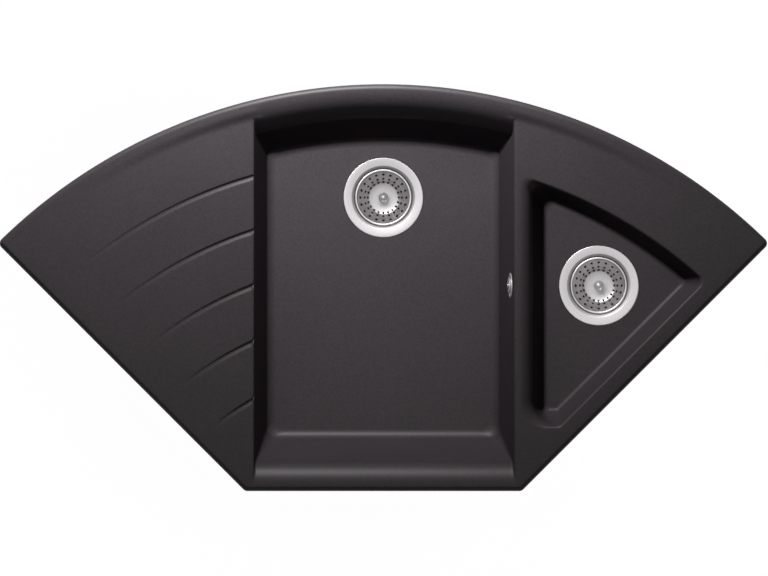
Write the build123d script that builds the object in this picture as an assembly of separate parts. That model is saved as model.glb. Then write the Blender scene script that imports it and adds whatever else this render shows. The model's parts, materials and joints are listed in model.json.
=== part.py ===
from build123d import *
import math
import os

# Corner kitchen sink with drainer and two bowls, in millimetres. +Z is up, the user stands
# at -Y, and the arc at +Y lies in the corner of the worktop. The origin is the middle of
# the plan, on the worktop.

# Plan of the moulding: a sector, cut off straight towards the user
plan_depth = 567.0
front_width = 385.5
arc_radius = 763.75
side_angle = 45.0
plan_corner_radius = 7.0

# Deck
deck_height = 9.0
deck_edge_radius = 5.5
roll_height = 4.5
roll_width = 30.0
roll_edge_radius = 9.0
roll_tip_gap = 2.8
roll_set_in = 0.6

# Walls of both bowls
wall = 7.0
floor_thickness = 8.0
edge_exit_angle = 8.0
wall_root = 0.5

# Main bowl, with its edges on the deck, set in from the ends of the front edge, from that
# edge and from the arc
main_left_inset = 10.15
main_right_inset = 7.25
main_front_inset = 14.5
main_back_inset = 13.75
main_depth = 190.0
main_left_draft = 5.4
main_right_draft = 6.4
main_end_draft = 9.6
main_left_edge_radius = 3.0
main_right_edge_radius = 4.0
main_front_edge_radius = 36.0
main_back_edge_radius = 40.0
main_floor_radius = 14.0

# Small bowl, with its edges on the deck, across the divider from the main bowl and set in
# from the front edge, the side and the arc
divider_width = 6.0
small_front_inset = 89.5
small_side_inset = 25.9
small_back_inset = 98.35
small_depth = 140.0
small_side_draft = 5.0
small_front_draft = 8.0
small_left_edge_radius = 20.0
small_floor_radius = 10.0
small_corner_radii = (38.0, 16.0, 15.0, 14.0)
small_left_overlap = 2.0

# Drainer grooves, around the centre of the arc
groove_first_inset = 103.35
groove_pitch = 72.3
groove_count = 5
groove_tip_gap = 5.8
groove_depth = 2.0
groove_round = 3.2
groove_last_depth = 0.15

# Wastes
main_waste_inset = 157.1
small_waste_run = 110.1
small_waste_inset = 286.5
waste_hole_radius = 45.0
recess_clearance = 1.0
flange_radius = 56.5
flange_flat_radius = 44.2
flange_sheet = 1.0
flange_proud = 0.2
flange_gasket_thickness = 1.2
cup_radius = 42.6
cup_depth = 20.0
seat_radius = 34.0
seat_depth = 28.0
cup_floor_depth = 33.0
window_count = 8
window_radius = 5.0
window_circle_radius = 21.0

# Strainer baskets
basket_rim_radius = 39.9
basket_mouth_radius = 36.5
basket_floor_radius = 23.5
basket_rim_depth = 3.0
basket_rim_thickness = 1.6
basket_depth = 22.0
basket_sheet = 0.8
basket_hole_radius = 1.5
basket_hole_count = 20
basket_hole_rings = (21.7, 25.7, 32.1)
knob_radius = 7.0
knob_centre_depth = 9.5
knob_neck_radius = 2.8
knob_collar_radius = 5.0
knob_collar_height = 1.5
stem_radius = 2.5
stopper_thickness = 3.0
stopper_hub_radius = 12.0
stopper_hub_height = 1.5
stopper_clearance = 0.4
stem_nut_radius = 5.0
stem_nut_height = 1.7

# Waste bodies under the bowls
waste_washer_thickness = 3.0
waste_washer_radius = 53.0
body_rim_radius = 54.0
body_rim_thickness = 4.0
body_cup_radius = 45.0
body_wall = 3.0
body_cup_depth = 36.0
body_cone_height = 12.5
body_outlet_length = 24.0
outlet_thread_radius = 23.9
pipe_radius = 20.0
pipe_wall = 1.8
hub_radius = 6.5
hub_depth = 60.0
rib_thickness = 2.2
rib_count = 4
rib_depth = 9.0
screw_radius = 3.0
screw_head_radius = 6.0
screw_head_height = 3.1
screw_length = 26.0
fit_gap = 0.05

# Overflow in the right-hand wall of the main bowl
overflow_y = 3.0
overflow_depth = 42.0
overflow_hole_radius = 13.5
cover_radius = 17.5
cover_opening_radius = 13.0
cover_plate_radius = 11.0
cover_ring_thickness = 1.6
cover_plate_rise = 1.8
cover_bridge_count = 3
cover_bridge_width = 4.0
overflow_gasket_radius = 18.0
overflow_gasket_thickness = 1.5
housing_width = 38.0
housing_thickness = 12.0
housing_wall = 1.6
housing_drop = 52.0
housing_foot_height = 14.0
housing_foot_width = 26.0
housing_foot_gap = 0.6
overflow_screw_radius = 2.5
overflow_screw_head_radius = 4.2
overflow_screw_head_height = 1.8
overflow_boss_radius = 4.5
hose_port_radius = 9.9
hose_bore_radius = 10.0
hose_wall = 2.0
hose_grip = 20.0
hose_bend_radius = 40.0
inlet_depth = 27.0
inlet_start = 56.0
clip_band_thickness = 1.4
clip_band_width = 8.0
clip_band_set_back = 6.0

# Pipework between the wastes
union_washer_thickness = 3.0
union_nut_radius = 29.0
union_nut_above = 20.0
union_nut_below = 8.0
nut_rib_count = 10
nut_rib_width = 4.0
nut_rib_height = 1.6
collar_height = 4.0
branch_drop = 42.0
link_bend_radius = 45.0
socket_radius = 24.0
socket_length = 60.0
socket_stop = 30.0
pipe_end_gap = 2.0
slip_nut_length = 20.0
slip_nut_overlap = 14.0
slip_washer_thickness = 4.0
tail_length = 60.0
tail_grip = 35.0
tail_stop_rise = 2.0
tail_stop_height = 3.0
thread_gap = 0.15

# Seal and clips under the rim
seal_inset = 3.0
seal_width = 9.0
seal_thickness = 1.5
clip_inset = 22.0
arc_clip_shares = (-0.85, -0.45, 0.45, 0.85)
left_clip_shares = (0.27, 0.7)
right_clip_shares = (0.115, 0.875)
boss_radius = 9.0
boss_height = 12.0
insert_radius = 4.2
insert_length = 10.0
clip_screw_radius = 3.0
clip_screw_head_radius = 5.8
clip_screw_head_height = 4.0
clip_screw_end_gap = 1.0
worktop_thickness = 40.0
clip_width = 12.0
clip_sheet = 2.0
clip_reach = 22.0
clip_heel = 12.0
clip_tip_height = 4.0
clip_heel_gap = 2.5
clip_bore_gap = 0.2

# Places worked out from those sizes
front_y = -plan_depth / 2
arc_centre_y = plan_depth / 2 - arc_radius
side = math.radians(side_angle)
main_left = main_left_inset - front_width / 2
main_right = front_width / 2 - main_right_inset
main_front = front_y + main_front_inset
main_back_radius = arc_radius - main_back_inset
small_left = main_right + divider_width
small_front = front_y + small_front_inset
small_back_radius = arc_radius - small_back_inset
main_waste_y = plan_depth / 2 - main_waste_inset
small_waste_x = small_left + small_waste_run
small_waste_y = front_y + small_waste_inset
main_floor = deck_height - main_depth
small_floor = deck_height - small_depth
roll_top = deck_height + roll_height
seat_spread = (cup_radius - seat_radius) / (seat_depth - cup_depth)
stopper_top = basket_depth + basket_sheet + stopper_hub_height
stopper_foot = stopper_top + stopper_thickness
stem_end = stopper_foot + stem_nut_height
body_top = floor_thickness + waste_washer_thickness
body_outlet = body_cup_depth + body_cone_height
body_end = body_outlet + body_outlet_length
collar_top = body_end + union_washer_thickness
branch_z = main_floor - collar_top - branch_drop
hose_radius = hose_bore_radius + hose_wall
wall_lean = math.radians(main_right_draft)
pieces = {}


def save(name, shape):
    pieces[name] = shape


def closed(*edges):
    outline = edges[0]
    for edge in edges[1:]:
        outline += edge
    return make_face(outline)


def polygon(points):
    return make_face(Polyline(points, close=True))


def turned(points, x=0.0, y=0.0, z=0.0):
    # a profile in radius and height, turned about a vertical axis
    return Pos(x, y, z) * revolve(Plane.XZ * polygon(points), Axis.Z)


def rod(radius, bottom, top, x=0.0, y=0.0):
    return Pos(x, y, bottom) * Cylinder(
        radius, top - bottom, align=(Align.CENTER, Align.CENTER, Align.MIN)
    )


def tube(outer, bore, bottom, top, x=0.0, y=0.0):
    return rod(outer, bottom, top, x, y) - rod(bore, bottom, top, x, y)


def round_arc(centre_u, centre_z, radius, start, end):
    # angles in radians from straight up, towards the bowl
    def point(angle):
        return (centre_u + radius * math.sin(angle), centre_z + radius * math.cos(angle))

    return ThreePointArc(point(start), point((start + end) / 2), point(end)), point(start), point(end)


# ---- plan of the moulding

def side_x(y, inset):
    # the right-hand side line, set in from the edge
    start_x = front_width / 2 - inset * math.sin(side)
    start_y = front_y + inset * math.cos(side)
    return start_x + (y - start_y) / math.tan(side)


def side_meets_arc(inset, radius):
    # where that line reaches a circle around the centre of the arc
    from_x = side_x(front_y, inset)
    from_y = front_y - arc_centre_y
    along = from_x * math.cos(side) + from_y * math.sin(side)
    run = -along + math.sqrt(along * along - from_x * from_x - from_y * from_y + radius * radius)
    return from_x + run * math.cos(side), front_y + run * math.sin(side)


tip_x, tip_y = side_meets_arc(0, arc_radius)
tip_angle = math.degrees(math.atan2(tip_x, tip_y - arc_centre_y))
side_length = math.hypot(tip_x - front_width / 2, tip_y - front_y)


def round_vertex(face, point, radius):
    corner = min(face.vertices(), key=lambda v: (Vector(v.X, v.Y) - Vector(*point)).length)
    return fillet(corner, radius)


def sector_face(inset):
    near_y = front_y + inset
    near = (side_x(near_y, inset), near_y)
    tip = side_meets_arc(inset, arc_radius - inset)
    back = (0, arc_centre_y + arc_radius - inset)
    face = closed(
        Polyline([(-tip[0], tip[1]), (-near[0], near[1]), near, tip]),
        ThreePointArc(tip, back, (-tip[0], tip[1])),
    )
    return fillet(face.vertices(), max(plan_corner_radius - inset, 1.0))


# ---- wall sections, across from the deck edge into the bowl

def wall_section(top, floor, edge_radius, draft, floor_radius, reach, skin=0.0):
    # The space of the bowl beside one wall. With a skin it is the outside of the moulding
    # there, which starts in the deck and lies one wall further out.
    lean = math.radians(draft)
    exit_angle = math.radians(edge_exit_angle)
    centre_u = -edge_radius * math.sin(exit_angle)
    centre_z = top - edge_radius * math.cos(exit_angle)
    wall_start = math.pi / 2 - lean
    radius = edge_radius - skin
    foot_radius = floor_radius + skin
    lines = []
    if radius > 0:
        level = wall_root if skin else top
        first = exit_angle if not skin else math.acos(min(1.0, (level - centre_z) / radius))
        arc, start, wall_top = round_arc(centre_u, centre_z, radius, first, wall_start)
        head = (start[0], level + (0.0 if skin else deck_height))
        if head[1] - start[1] > 1e-6:
            lines.append(Line(head, start))
        lines.append(arc)
    else:
        corner_u = centre_u + radius * math.cos(lean)
        corner_z = centre_z + radius * math.sin(lean)
        rise = (wall_root - corner_z) / math.cos(lean)
        wall_top = (corner_u - rise * math.sin(lean), wall_root)
        head = wall_top
    drop = wall_top[1] - floor - foot_radius * (1 - math.sin(lean))
    run = drop / math.cos(lean)
    wall_foot = (wall_top[0] + run * math.sin(lean), wall_top[1] - drop)
    foot_u = wall_foot[0] + foot_radius * math.cos(lean)
    foot, _, foot_end = round_arc(foot_u, floor + foot_radius, foot_radius,
                                  -(math.pi - wall_start), -math.pi)
    lines += [Line(wall_top, wall_foot), foot,
              Polyline([foot_end, (reach, floor), (reach, head[1]), head])]
    return closed(*lines)


def inner_and_skin(top, floor, edge_radius, draft, floor_radius, reach, place):
    inner = place(wall_section(top, floor, edge_radius, draft, floor_radius, reach))
    skin = place(wall_section(top, floor - floor_thickness, edge_radius, draft,
                              floor_radius, reach, wall))
    return inner, skin


def along_y(x, inwards):
    # a section whose inward direction is +X or -X, drawn out over the whole depth of the plan
    plane = Plane(origin=(x, -inwards * front_y, 0), x_dir=(inwards, 0, 0), z_dir=(0, -inwards, 0))
    return lambda face: extrude(plane * face, plan_depth)


def along_x(y):
    plane = Plane(origin=(-plan_depth / 2, y, 0), x_dir=(0, 1, 0), z_dir=(1, 0, 0))
    return lambda face: extrude(plane * face, plan_depth)


def around_arc(radius):
    plane = Plane(origin=(0, arc_centre_y + radius, 0), x_dir=(0, -1, 0), z_dir=(-1, 0, 0))
    axis = Axis((0, arc_centre_y, 0), (0, 0, 1))

    def place(face):
        return revolve(plane * face, axis, 180).rotate(axis, -90)

    return place


# ---- bowls

def main_bowl():
    reach_across = (main_right - main_left) * 1.2
    sides = [
        (deck_height, main_left_edge_radius, main_left_draft, reach_across,
         along_y(main_left, 1)),
        (deck_height, main_right_edge_radius, main_right_draft, reach_across,
         along_y(main_right, -1)),
        (deck_height, main_front_edge_radius, main_end_draft, plan_depth, along_x(main_front)),
        (roll_top, main_back_edge_radius, main_end_draft, main_back_radius,
         around_arc(main_back_radius)),
    ]
    spaces = [inner_and_skin(top, main_floor, edge, draft, main_floor_radius, reach, place)
              for top, edge, draft, reach, place in sides]
    hollow, shell = spaces[0]
    for inner, skin in spaces[1:]:
        hollow = hollow & inner
        shell = shell & skin
    return hollow, shell


def small_outline(z, drop, grow):
    # the bowl's outline at a depth below the deck, with the left side out past its rounding
    slope = math.tan(math.radians(small_side_draft))
    left = small_left - small_left_overlap - grow + drop * slope * 0.5
    front = small_front - grow + drop * math.tan(math.radians(small_front_draft))
    inset = small_side_inset - grow + drop * slope
    radius = small_back_radius + grow - drop * slope
    near = (side_x(front, inset), front)
    right = side_meets_arc(inset, radius)
    far = (left, arc_centre_y + math.sqrt(radius ** 2 - left ** 2))
    turn = (math.atan2(right[1] - arc_centre_y, right[0])
            + math.atan2(far[1] - arc_centre_y, far[0])) / 2
    middle = (radius * math.cos(turn), arc_centre_y + radius * math.sin(turn))
    face = closed(Polyline([far, (left, front), near, right]), ThreePointArc(right, middle, far))
    for point, round_radius in zip([(left, front), near, right, far], small_corner_radii):
        face = round_vertex(face, point, round_radius + grow)
    return Pos(0, 0, z) * face


def small_bowl():
    reach = arc_radius
    inner, skin = inner_and_skin(deck_height, small_floor, small_left_edge_radius,
                                 small_side_draft, small_floor_radius, reach,
                                 along_y(small_left, 1))
    above = loft([small_outline(deck_height, 0, 0), small_outline(small_floor, small_depth, 0)],
                 ruled=True)
    above = fillet(above.edges().group_by(Axis.Z)[0], small_floor_radius)
    above += extrude(small_outline(deck_height, 0, 0), roll_top)
    outside = loft([small_outline(wall_root, deck_height - wall_root, wall),
                    small_outline(small_floor - floor_thickness,
                                  small_depth + floor_thickness, wall)], ruled=True)
    outside = fillet(outside.edges().group_by(Axis.Z)[0], small_floor_radius + wall)
    return above & inner, outside & skin


# ---- raised roll along the arc, highest in the middle and sunk into the deck near the tips

def arc_roll():
    fade_angle = tip_angle - roll_tip_gap
    fall = math.atan(roll_height / (arc_radius * (1 - math.cos(math.radians(fade_angle)))))
    outer = arc_radius - roll_set_in
    crest = outer - roll_edge_radius
    inner_slope = outer - roll_width
    base = -(deck_height - roll_set_in)
    down = -roll_height * 1.06
    middle = ((crest + inner_slope) / 2, down / 2)
    slope = TangentArc((crest, 0), middle, tangent=(-1, 0))
    foot = TangentArc((inner_slope, down), middle, tangent=(1, 0))
    edge = RadiusArc((outer, -roll_edge_radius), (crest, 0), -roll_edge_radius)
    section = closed(Polyline([(inner_slope, down), (inner_slope, base), (outer, base),
                               (outer, -roll_edge_radius)]), edge, slope, foot)
    centre = (0, arc_centre_y, roll_top - arc_radius * math.tan(fall))
    plane = Plane(origin=centre, x_dir=(0, math.cos(fall), math.sin(fall)), z_dir=(1, 0, 0))
    axis = Axis(centre, (0, -math.sin(fall), math.cos(fall)))
    turn = fade_angle + 1
    return revolve(plane * section, axis, 2 * turn).rotate(axis, -turn)


def drainer_groove(radius):
    # a round channel that leans, so that it runs out into the deck at its far end
    start_angle = math.asin(-main_left / radius)
    end_angle = math.radians(tip_angle - groove_tip_gap)
    fall = math.atan((groove_depth - groove_last_depth)
                     / (radius * (math.sin(end_angle) - math.sin(start_angle))))
    height = deck_height + groove_round - groove_depth + main_left * math.tan(fall)
    centre = (0, arc_centre_y, height)
    axis = Axis(centre, (math.sin(fall), 0, math.cos(fall)))
    plane = Plane(origin=centre, x_dir=(0, 1, 0), z_dir=(math.cos(fall), 0, -math.sin(fall)))
    section = plane * Pos(radius, 0) * Circle(groove_round)
    before = start_angle * 0.9
    channel = revolve(section, axis, math.degrees(end_angle - before))
    return channel.rotate(axis, math.degrees(before))


# ---- places of the rim clips: the screw's centre, and the direction out over the worktop

def clip_places():
    places = []
    for share in arc_clip_shares:
        turn = math.radians(90 - share * tip_angle)
        radius = arc_radius - clip_inset
        places.append((radius * math.cos(turn), arc_centre_y + radius * math.sin(turn),
                       90 - share * tip_angle))
    for mirror, shares in ((-1, left_clip_shares), (1, right_clip_shares)):
        for share in shares:
            run = share * side_length
            x = front_width / 2 + run * math.cos(side) - clip_inset * math.sin(side)
            y = front_y + run * math.sin(side) + clip_inset * math.cos(side)
            outwards = side_angle - 90 if mirror > 0 else 270 - side_angle
            places.append((mirror * x, y, outwards))
    return places


# ---- overflow: its middle on the wall's inner face, with the direction into the bowl

overflow_z = deck_height - overflow_depth
exit_lean = math.radians(edge_exit_angle)
wall_start_u = main_right_edge_radius * (math.cos(wall_lean) - math.sin(exit_lean))
wall_start_depth = main_right_edge_radius * (math.cos(exit_lean) - math.sin(wall_lean))
overflow_x = (main_right - wall_start_u
              - (overflow_depth - wall_start_depth) * math.tan(wall_lean))
overflow_plane = Plane(
    origin=(overflow_x, overflow_y, overflow_z),
    x_dir=(0, -1, 0),
    z_dir=(-math.cos(wall_lean), 0, math.sin(wall_lean)),
)


def sink_moulding():
    plate = extrude(sector_face(0), deck_height)
    plate = fillet(plate.edges().group_by(Axis.Z)[-1], deck_edge_radius)
    main_hollow, main_shell = main_bowl()
    small_hollow, small_shell = small_bowl()
    body = plate + arc_roll() + main_shell + small_shell
    for x, y, _ in clip_places():
        body += rod(boss_radius, -boss_height, wall_root, x, y)
    body = body - main_hollow - small_hollow
    body -= [drainer_groove(arc_radius - groove_first_inset - groove_pitch * n)
             for n in range(groove_count)]
    recess = flange_gasket_thickness + flange_sheet - flange_proud
    for x, y, floor in ((0, main_waste_y, main_floor), (small_waste_x, small_waste_y, small_floor)):
        body -= rod(waste_hole_radius, floor - floor_thickness * 1.5, floor + 1, x, y)
        body -= rod(flange_radius + recess_clearance, floor - recess, floor + 1, x, y)
    body -= overflow_plane * Pos(0, 0, -wall) * Cylinder(overflow_hole_radius, wall * 4)
    body -= [rod(insert_radius, -boss_height - 1, insert_length - boss_height, x, y)
             for x, y, _ in clip_places()]
    track = sector_face(seal_inset) - sector_face(seal_inset + seal_width)
    return body - extrude(track, seal_thickness)


save("sink_body", sink_moulding())
save("rim_seal", extrude(sector_face(seal_inset) - sector_face(seal_inset + seal_width),
                         seal_thickness))


# ---- one waste: flange, gasket, washer, body, screw, basket, knob, stopper and nut

def waste_flange():
    top, under = flange_proud, flange_proud - flange_sheet
    outer_cup = cup_radius + flange_sheet
    lip = flange_flat_radius - cup_radius
    shell = turned([
        (flange_radius, top), (flange_flat_radius, top), (cup_radius, top - lip),
        (cup_radius, -cup_depth), (seat_radius, -seat_depth), (seat_radius, -cup_floor_depth),
        (screw_radius + fit_gap, -cup_floor_depth),
        (screw_radius + fit_gap, -cup_floor_depth - flange_sheet),
        (seat_radius + flange_sheet, -cup_floor_depth - flange_sheet),
        (seat_radius + flange_sheet, -seat_depth - flange_sheet / 2),
        (outer_cup, -cup_depth - flange_sheet / 2), (outer_cup, under), (flange_radius, under),
    ])
    for place in PolarLocations(window_circle_radius, window_count):
        shell -= place * Pos(0, 0, -cup_floor_depth) * Cylinder(window_radius, flange_sheet * 4)
    return shell


def strainer_basket():
    wall_run = basket_mouth_radius - basket_floor_radius
    wall_drop = basket_depth - basket_rim_depth
    lean = math.atan2(wall_run, wall_drop)
    rim_foot = -basket_rim_depth - basket_rim_thickness
    skin_out = basket_sheet / math.cos(lean)
    under = -basket_depth - basket_sheet
    shell = turned([
        (basket_rim_radius, -basket_rim_depth), (basket_mouth_radius, -basket_rim_depth),
        (basket_floor_radius, -basket_depth), (stem_radius + fit_gap, -basket_depth),
        (stem_radius + fit_gap, under),
        (basket_floor_radius + skin_out - basket_sheet * math.tan(lean), under),
        (basket_mouth_radius + skin_out - basket_rim_thickness * math.tan(lean), rim_foot),
        (basket_rim_radius, rim_foot),
    ])
    drills = []
    for ring in basket_hole_rings:
        on_wall = max(ring - basket_floor_radius, 0.0)
        tilt = 90 - math.degrees(lean) if on_wall > 0 else 0.0
        height = -basket_depth + on_wall / wall_run * wall_drop
        for place in PolarLocations(ring, basket_hole_count):
            drills.append(place * Pos(0, 0, height) * Rot(0, -tilt, 0)
                          * Cylinder(basket_hole_radius, basket_sheet * 6))
    return shell - drills


def basket_knob():
    collar_top = -basket_depth + knob_collar_height
    body = Pos(0, 0, -knob_centre_depth) * Sphere(knob_radius)
    body += rod(knob_neck_radius, collar_top - 0.5, -knob_centre_depth)
    body += rod(knob_collar_radius, -basket_depth, collar_top)
    return body + rod(stem_radius, -stem_end, -basket_depth)


def basket_seal():
    def seat_gap(depth):
        return cup_radius - (depth - cup_depth) * seat_spread - stopper_clearance

    return turned([
        (stem_radius + fit_gap, -stopper_top + stopper_hub_height),
        (stopper_hub_radius, -stopper_top + stopper_hub_height),
        (stopper_hub_radius, -stopper_top), (seat_gap(stopper_top), -stopper_top),
        (seat_gap(stopper_foot), -stopper_foot), (stem_radius + fit_gap, -stopper_foot),
    ])


def waste_body(inlet_angle=None):
    cup_wall = body_cup_radius + body_wall
    bore = pipe_radius - pipe_wall * 0.5
    shell = turned([
        (body_cup_radius, -body_top), (body_rim_radius, -body_top),
        (body_rim_radius, -body_top - body_rim_thickness),
        (cup_wall, -body_top - body_rim_thickness), (cup_wall, -body_cup_depth - 1),
        (outlet_thread_radius, -body_outlet - 1), (outlet_thread_radius, -body_end),
        (bore, -body_end), (bore, -body_outlet), (body_cup_radius, -body_cup_depth),
    ])
    hub_top = -cup_floor_depth - flange_sheet
    hub = rod(hub_radius, -hub_depth, hub_top)
    for n in range(rib_count):
        rib = Box((bore + 1), rib_thickness, rib_depth,
                  align=(Align.MIN, Align.CENTER, Align.MIN))
        hub += Rot(0, 0, 360 / rib_count * n) * Pos(0, 0, -hub_depth) * rib
    shell += hub
    if inlet_angle is not None:
        length = inlet_start + hose_grip - body_cup_radius
        port = Cylinder(hose_port_radius, length, align=(Align.CENTER, Align.CENTER, Align.MIN))
        port_wall = hose_wall
        stop = Cylinder(hose_radius, 2, align=(Align.CENTER, Align.CENTER, Align.MAX))
        port += Pos(0, 0, inlet_start - body_cup_radius - 1) * stop
        way = Cylinder(hose_port_radius - port_wall, length * 4)
        place = Rot(0, 0, inlet_angle) * Pos(body_cup_radius + 1, 0, -inlet_depth) * Rot(0, 90, 0)
        shell += place * port
        shell -= place * Pos(0, 0, length * 2 - 4) * way
    return shell - rod(screw_radius + fit_gap, -hub_depth - 1, hub_top + 1)


def waste_screw():
    seat = -cup_floor_depth
    head = rod(screw_head_radius, seat, seat + screw_head_height)
    head = fillet(head.edges().group_by(Axis.Z)[-1], 1.2)
    slot = Pos(0, 0, seat + screw_head_height) * Box(screw_head_radius * 3, 1.4, 2.2)
    return head - slot + rod(screw_radius, seat - screw_length, seat)


def make_waste(name, x, y, floor, inlet_angle=None):
    place = Pos(x, y, floor)
    gasket_top = flange_proud - flange_sheet
    save(f"{name}_waste_flange", place * waste_flange())
    save(f"{name}_flange_gasket",
         place * tube(flange_radius - 1, waste_hole_radius, gasket_top - flange_gasket_thickness,
                      gasket_top))
    save(f"{name}_waste_washer",
         place * tube(waste_washer_radius, waste_hole_radius, -body_top, -floor_thickness))
    save(f"{name}_waste_body", place * waste_body(inlet_angle))
    save(f"{name}_waste_screw", place * waste_screw())
    save(f"{name}_strainer_basket", place * strainer_basket())
    save(f"{name}_basket_knob", place * basket_knob())
    save(f"{name}_basket_seal", place * basket_seal())
    save(f"{name}_basket_nut",
         place * tube(stem_nut_radius, stem_radius + fit_gap, -stem_end, -stopper_foot))


# ---- overflow: heights along the wall's normal are positive into the bowl

housing_foot_thickness = 2 * hose_radius + housing_foot_gap
port_out = wall + overflow_gasket_thickness + housing_foot_thickness / 2
lean_x, lean_z = math.sin(wall_lean), math.cos(wall_lean)
housing_foot = housing_drop + housing_width / 2
hose_start = Vector(
    overflow_x + port_out * lean_z - housing_foot * lean_x,
    overflow_y,
    overflow_z - port_out * lean_x - housing_foot * lean_z,
)
inlet_z = main_floor - inlet_depth
hose_corner = hose_start + Vector(-lean_x, 0, -lean_z) * ((hose_start.Z - inlet_z) / lean_z)
inlet_run = Vector(hose_corner.X, hose_corner.Y - main_waste_y)
inlet_turn = math.degrees(math.atan2(inlet_run.Y, inlet_run.X))
inlet_dir = inlet_run.normalized()
hose_end = Vector(0, main_waste_y, inlet_z) + inlet_dir * inlet_start


def overflow_cover():
    ring = Cylinder(cover_radius, cover_ring_thickness, align=(Align.CENTER, Align.CENTER, Align.MIN))
    ring = fillet(ring.edges().group_by(Axis.Z)[-1], cover_ring_thickness * 0.6)
    ring -= Cylinder(cover_opening_radius, cover_ring_thickness * 4)
    plate = Pos(0, 0, cover_plate_rise) * Cylinder(
        cover_plate_radius, cover_ring_thickness, align=(Align.CENTER, Align.CENTER, Align.MIN))
    plate = fillet(plate.edges().group_by(Axis.Z)[-1], cover_ring_thickness * 0.6)
    for n in range(cover_bridge_count):
        bridge = Box(cover_opening_radius + 1, cover_bridge_width, cover_plate_rise + 0.4,
                     align=(Align.MIN, Align.CENTER, Align.MIN))
        plate += Rot(0, 0, 360 / cover_bridge_count * n) * (bridge - Cylinder(cover_plate_radius / 2, 20))
    cover = ring + plate
    return overflow_plane * (cover - Cylinder(overflow_screw_radius + fit_gap, 40))


def rounded_box(width, height, thickness, corner, back, foot):
    # stands on its foot line, with its face towards the wall at the given height
    box = Pos(0, foot + height / 2, back) * Box(
        width, height, thickness, align=(Align.CENTER, Align.CENTER, Align.MAX))
    return fillet(box.edges().filter_by(Axis.Z), corner)


def overflow_housing():
    # a flat duct that hangs behind the wall, with a deeper foot that carries the hose port
    back = -wall - overflow_gasket_thickness
    skin = housing_wall
    corner = housing_width * 0.3
    height = housing_foot + housing_width / 2
    outside = rounded_box(housing_width, height, housing_thickness, corner, back, -housing_foot)
    outside += rounded_box(housing_foot_width, housing_foot_height, housing_foot_thickness,
                           skin * 2, back, -housing_foot)
    inside = rounded_box(housing_width - 2 * skin, height - 2 * skin, housing_thickness - 2 * skin,
                         corner - skin, back - skin, skin - housing_foot)
    inside += rounded_box(housing_foot_width - 2 * skin, housing_foot_height - 2 * skin,
                          housing_foot_thickness - 2 * skin, skin, back - skin,
                          skin - housing_foot)
    housing = outside - inside
    housing -= Pos(0, 0, back) * Cylinder(overflow_hole_radius, skin * 2.5)
    boss = Cylinder(overflow_boss_radius, housing_thickness,
                    align=(Align.CENTER, Align.CENTER, Align.MAX))
    housing += Pos(0, 0, back) * boss
    housing -= Pos(0, 0, back) * Cylinder(overflow_screw_radius + fit_gap, housing_thickness * 3)
    port = Cylinder(hose_port_radius, hose_grip, align=(Align.CENTER, Align.CENTER, Align.MIN))
    way = Cylinder(hose_port_radius - hose_wall, hose_grip * 2.5)
    foot = Pos(0, -housing_foot, -port_out) * Rot(90, 0, 0)
    return overflow_plane * (housing + foot * port - foot * way)


save("overflow_cover", overflow_cover())
screw_reach = wall + overflow_gasket_thickness + housing_thickness - housing_wall
head_seat = cover_plate_rise + cover_ring_thickness
overflow_fixing = Pos(0, 0, head_seat) * Cylinder(
    overflow_screw_head_radius, overflow_screw_head_height, align=(Align.CENTER, Align.CENTER, Align.MIN))
overflow_fixing = fillet(overflow_fixing.edges().group_by(Axis.Z)[-1], 0.9)
overflow_fixing -= Pos(0, 0, head_seat + overflow_screw_head_height) * Box(20, 1.0, 1.6)
overflow_fixing += Pos(0, 0, head_seat) * Cylinder(
    overflow_screw_radius, screw_reach + head_seat, align=(Align.CENTER, Align.CENTER, Align.MAX))
save("overflow_screw", overflow_plane * overflow_fixing)
save("overflow_gasket", overflow_plane * Pos(0, 0, -wall) * (
    Cylinder(overflow_gasket_radius, overflow_gasket_thickness, align=(Align.CENTER, Align.CENTER, Align.MAX))
    - Cylinder(overflow_hole_radius, 10)))
save("overflow_housing", overflow_housing())

hose_line = FilletPolyline([hose_start, hose_corner, hose_end], radius=hose_bend_radius)
hose_face = Plane(origin=hose_start, z_dir=hose_line % 0) * (Circle(hose_radius) - Circle(hose_bore_radius))
save("overflow_hose", sweep(hose_face, path=hose_line))


def hose_band(centre, direction, screw_side):
    band = Cylinder(hose_radius + clip_band_thickness, clip_band_width) - Cylinder(
        hose_radius + fit_gap, clip_band_width)
    screw_box = Pos(hose_radius + clip_band_thickness, 0, 0) * Box(5, 9, clip_band_width)
    band += screw_box - Cylinder(hose_radius + fit_gap, clip_band_width)
    return Plane(origin=centre, x_dir=screw_side, z_dir=direction) * band


band_offset = clip_band_set_back + clip_band_width / 2
save("hose_clips", Compound(children=[
    hose_band(hose_start + Vector(-lean_x, 0, -lean_z) * band_offset, (-lean_x, 0, -lean_z),
              (0, 1, 0)),
    hose_band(hose_end + inlet_dir * band_offset, inlet_dir, (0, 0, -1)),
]))

make_waste("main", 0, main_waste_y, main_floor, inlet_turn)
make_waste("small", small_waste_x, small_waste_y, small_floor)


# ---- pipework under the wastes

def grip_ribs(radius, height):
    ribs = []
    for n in range(nut_rib_count):
        rib = Pos(radius, 0, 0) * Box(nut_rib_height * 2, nut_rib_width, height,
                                      align=(Align.CENTER, Align.CENTER, Align.MIN))
        ribs.append(Rot(0, 0, 360 / nut_rib_count * n) * rib)
    return ribs


def union_nut():
    lip = -collar_top - collar_height
    top = -body_end + union_nut_above
    nut = turned([
        (outlet_thread_radius + thread_gap, top), (union_nut_radius, top),
        (union_nut_radius, lip - union_nut_below), (pipe_radius + thread_gap, lip - union_nut_below),
        (pipe_radius + thread_gap, lip), (outlet_thread_radius + thread_gap, lip),
    ])
    ribs = grip_ribs(union_nut_radius, top - lip + union_nut_below)
    return nut + [Pos(0, 0, lip - union_nut_below) * rib for rib in ribs]


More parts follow.
